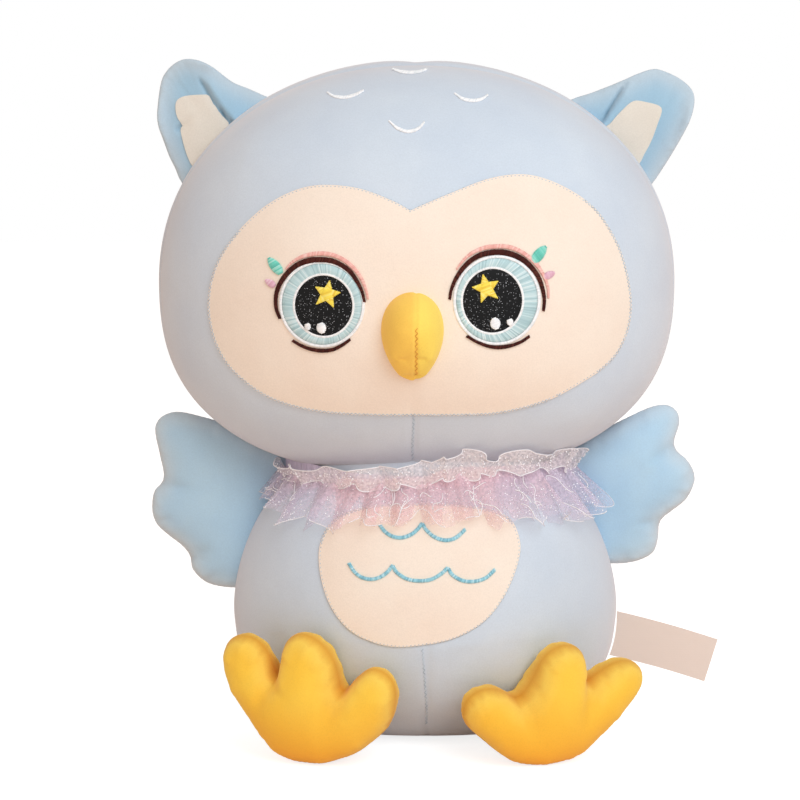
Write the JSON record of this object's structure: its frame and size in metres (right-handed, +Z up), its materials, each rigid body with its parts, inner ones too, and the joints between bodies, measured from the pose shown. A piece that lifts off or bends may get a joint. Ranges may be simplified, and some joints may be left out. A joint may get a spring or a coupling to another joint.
{
  "type": "plush owl",
  "caption": "Sitting plush owl with a big round head, embroidered eyes, soft beak, ears, wings, feet, belly patch and a gathered tulle collar.",
  "frame": {"origin": "middle of the flat seat panel, on the surface that the owl sits on", "axes": "+Z up, the owl faces -Y, +X towards the owl's own left"},
  "size_m": [0.3938, 0.2726, 0.4566],
  "materials": {
    "head_velour": "soft short-pile velour",
    "wing_velour": "soft short-pile velour",
    "cream_velour": "soft short-pile velour",
    "yellow_velour": "soft short-pile velour",
    "ear_cream": "soft short-pile velour",
    "stuffing": "loose polyester filling",
    "iris_thread": "satin stitch",
    "pupil_cloth": "black cloth with fine white glitter",
    "star_thread": "satin stitch",
    "white_thread": "satin stitch",
    "brown_thread": "satin stitch",
    "pink_thread": "satin stitch",
    "teal_thread": "satin stitch",
    "petal_thread": "satin stitch",
    "wave_thread": "satin stitch",
    "lilac_tulle": "sheer tulle with glitter",
    "pink_tulle": "sheer tulle with glitter",
    "label_satin": "thin satin ribbon"
  },
  "bodies": {
    "body": {"body_front_panel": "head_velour", "body_back_left_panel": "head_velour", "body_back_right_panel": "head_velour", "base_panel": "head_velour", "body_stuffing": "stuffing", "belly_patch": "cream_velour", "belly_wave_upper": "wave_thread", "belly_wave_lower": "wave_thread", "collar_band": "lilac_tulle", "collar_skirt": "lilac_tulle", "collar_frill": "pink_tulle"},
    "head": {"head_front_panel": "head_velour", "head_back_left_panel": "head_velour", "head_back_right_panel": "head_velour", "head_stuffing": "stuffing", "face_patch": "cream_velour", "forehead_mark_1": "white_thread", "forehead_mark_2": "white_thread", "forehead_mark_3": "white_thread", "forehead_mark_4": "white_thread", "beak_left_panel": "yellow_velour", "beak_right_panel": "yellow_velour", "beak_stuffing": "stuffing", "left_eye_iris": "iris_thread", "left_eye_pupil": "pupil_cloth", "left_eye_star": "star_thread", "left_eye_glint": "white_thread", "left_eye_lid_line": "brown_thread", "left_eye_blush_line": "pink_thread", "left_eye_lower_line": "brown_thread", "left_eye_leaf": "teal_thread", "left_eye_petal": "petal_thread", "right_eye_iris": "iris_thread", "right_eye_pupil": "pupil_cloth", "right_eye_star": "star_thread", "right_eye_glint": "white_thread", "right_eye_lid_line": "brown_thread", "right_eye_blush_line": "pink_thread", "right_eye_lower_line": "brown_thread", "right_eye_leaf": "teal_thread", "right_eye_petal": "petal_thread"},
    "label": {"care_label": "label_satin"},
    "left_wing": {"left_wing_front_panel": "wing_velour", "left_wing_back_panel": "wing_velour", "left_wing_stuffing": "stuffing"},
    "left_foot": {"left_foot_sole_panel": "yellow_velour", "left_foot_top_panel": "yellow_velour", "left_foot_stuffing": "stuffing"},
    "left_ear": {"left_ear_front_panel": "wing_velour", "left_ear_back_panel": "wing_velour", "left_ear_patch": "ear_cream"},
    "right_wing": {"right_wing_front_panel": "wing_velour", "right_wing_back_panel": "wing_velour", "right_wing_stuffing": "stuffing"},
    "right_foot": {"right_foot_sole_panel": "yellow_velour", "right_foot_top_panel": "yellow_velour", "right_foot_stuffing": "stuffing"},
    "right_ear": {"right_ear_front_panel": "wing_velour", "right_ear_back_panel": "wing_velour", "right_ear_patch": "ear_cream"}
  },
  "joints": [
    {"name": "head_nod", "type": "hinge", "parent": "body", "child": "head", "pos_m": [-0.006, 0, 0.19], "axis": [1, 0, 0], "range_deg": [-6, 6], "stiffness_Nm_per_rad": 6},
    {"name": "left_wing_swing", "type": "hinge", "parent": "body", "child": "left_wing", "pos_m": [0.12437, 0, 0.1293], "axis": [-0.3715, 0, 0.9284], "range_deg": [-28, 28], "stiffness_Nm_per_rad": 0.3},
    {"name": "left_foot_bend", "type": "hinge", "parent": "body", "child": "left_foot", "pos_m": [0.064, -0.09047, 0.034], "axis": [1, 0, 0], "range_deg": [0, 30], "stiffness_Nm_per_rad": 1},
    {"name": "left_ear_fold", "type": "hinge", "parent": "head", "child": "left_ear", "pos_m": [0.13162, 0, 0.40313], "axis": [-0.7347, 0, 0.6784], "range_deg": [-25, 25], "stiffness_Nm_per_rad": 0.15},
    {"name": "right_wing_swing", "type": "hinge", "parent": "body", "child": "right_wing", "pos_m": [-0.12689, 0, 0.12251], "axis": [0.3246, 0, 0.9459], "range_deg": [-28, 28], "stiffness_Nm_per_rad": 0.3},
    {"name": "right_foot_bend", "type": "hinge", "parent": "body", "child": "right_foot", "pos_m": [-0.064, -0.09047, 0.034], "axis": [1, 0, 0], "range_deg": [0, 30], "stiffness_Nm_per_rad": 1},
    {"name": "right_ear_fold", "type": "hinge", "parent": "head", "child": "right_ear", "pos_m": [-0.14362, 0, 0.40313], "axis": [0.7347, 0, 0.6784], "range_deg": [-25, 25], "stiffness_Nm_per_rad": 0.15},
    {"name": "label_flap", "type": "hinge", "parent": "body", "child": "label", "pos_m": [0.13342, 0, 0.05996], "axis": [0.143, 0, 0.9897], "range_deg": [-60, 60], "stiffness_Nm_per_rad": 0.004}
  ]
}
